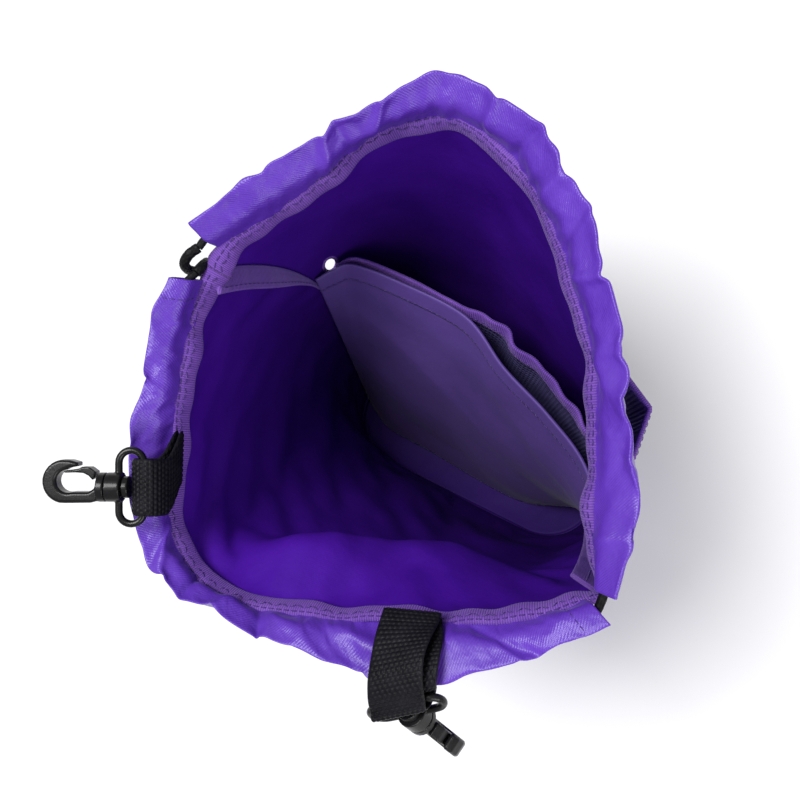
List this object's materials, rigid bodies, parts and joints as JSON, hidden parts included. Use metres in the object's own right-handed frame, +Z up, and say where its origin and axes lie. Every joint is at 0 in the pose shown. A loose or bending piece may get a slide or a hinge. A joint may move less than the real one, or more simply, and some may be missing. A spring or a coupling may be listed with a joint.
{
  "type": "treat pouch",
  "caption": "Open drawstring treat pouch with inner divider, mesh pockets, cord lock and two webbing loops that carry swivel snap hooks.",
  "frame": {"origin": "middle of the base panel's underside", "axes": "+Z up through the mouth, +Y towards the back panel with the hooks, -Y towards the front pocket, +X towards the side where the cord ends leave the casings"},
  "size_m": [0.205, 0.2017, 0.217],
  "materials": {
    "nylon": "satin purple woven nylon, coated inside",
    "tape": "cross-ribbed lilac binding tape",
    "lining": "thin lilac lining cloth",
    "netting": "black mesh",
    "braid": "black braided cord",
    "webbing": "black woven webbing",
    "plastic": "black moulded acetal, semi-gloss",
    "steel": "spring wire"
  },
  "bodies": {
    "pouch": {"base_panel": "nylon", "front_panel": "nylon", "back_panel": "nylon", "left_seam_binding": "tape", "right_seam_binding": "tape", "divider_panel": "lining", "divider_hem": "lining", "mesh_pocket_panel": "netting", "mesh_pocket_binding": "tape", "front_pocket_mesh": "netting", "front_pocket_binding": "tape", "mouth_tape": "tape", "front_casing": "nylon", "back_casing": "nylon", "drawcord": "braid", "cord_tail_front": "braid", "cord_tail_back": "braid", "cord_end_knot": "braid"},
    "left_strap": {"left_webbing_loop": "webbing"},
    "left_swivel_ring": {"left_ring": "plastic"},
    "left_snap_hook": {"left_hook": "plastic"},
    "left_gate": {"left_hook_gate": "plastic"},
    "right_strap": {"right_webbing_loop": "webbing"},
    "right_swivel_ring": {"right_ring": "plastic"},
    "right_snap_hook": {"right_hook": "plastic"},
    "right_gate": {"right_hook_gate": "plastic"},
    "cord_lock": {"cord_lock_body": "plastic", "cord_lock_spring": "steel"},
    "lock_button": {"cord_lock_button": "plastic"}
  },
  "joints": [
    {"name": "left_strap_fold", "type": "hinge", "parent": "pouch", "child": "left_strap", "pos_m": [0.05611, 0.04609, 0.1894], "axis": [0.6392, -0.769, 0], "range_deg": [0, 50]},
    {"name": "left_ring_swing", "type": "hinge", "parent": "left_strap", "child": "left_swivel_ring", "pos_m": [0.05297, 0.05676, 0.2041], "axis": [0.6506, -0.7586, 0.035], "range_deg": [-10, 75]},
    {"name": "left_hook_swivel", "type": "hinge", "parent": "left_swivel_ring", "child": "left_snap_hook", "pos_m": [0.05297, 0.05676, 0.2041], "axis": [0.7192, 0.6304, 0.2921], "continuous": true},
    {"name": "left_gate_press", "type": "hinge", "parent": "left_snap_hook", "child": "left_gate", "pos_m": [0.06791, 0.06401, 0.20916], "axis": [-0.2436, -0.1649, 0.9557], "range_deg": [0, 20], "stiffness_Nm_per_rad": 0.02},
    {"name": "right_strap_fold", "type": "hinge", "parent": "pouch", "child": "right_strap", "pos_m": [-0.04528, 0.02534, 0.1901], "axis": [0.769, 0.6392, 0], "range_deg": [0, 50]},
    {"name": "right_ring_swing", "type": "hinge", "parent": "right_strap", "child": "right_swivel_ring", "pos_m": [-0.06147, 0.04638, 0.1991], "axis": [-0.508, -0.855, 0.104], "range_deg": [-95, 5]},
    {"name": "right_hook_swivel", "type": "hinge", "parent": "right_swivel_ring", "child": "right_snap_hook", "pos_m": [-0.06147, 0.04638, 0.1991], "axis": [-0.5909, 0.2581, -0.7643], "continuous": true},
    {"name": "right_gate_press", "type": "hinge", "parent": "right_snap_hook", "child": "right_gate", "pos_m": [-0.07491, 0.04925, 0.18847], "axis": [0.1258, -0.9064, -0.4033], "range_deg": [0, 20], "stiffness_Nm_per_rad": 0.02},
    {"name": "cord_lock_slide", "type": "slide", "parent": "pouch", "child": "cord_lock", "axis": [0, 0, 1], "range_m": [-0.026, 0.02]},
    {"name": "lock_button_press", "type": "slide", "parent": "cord_lock", "child": "lock_button", "axis": [-1, 0, 0], "range_m": [0, 0.0024], "stiffness_N_per_m": 350, "deforming": ["cord_lock_spring"]}
  ]
}
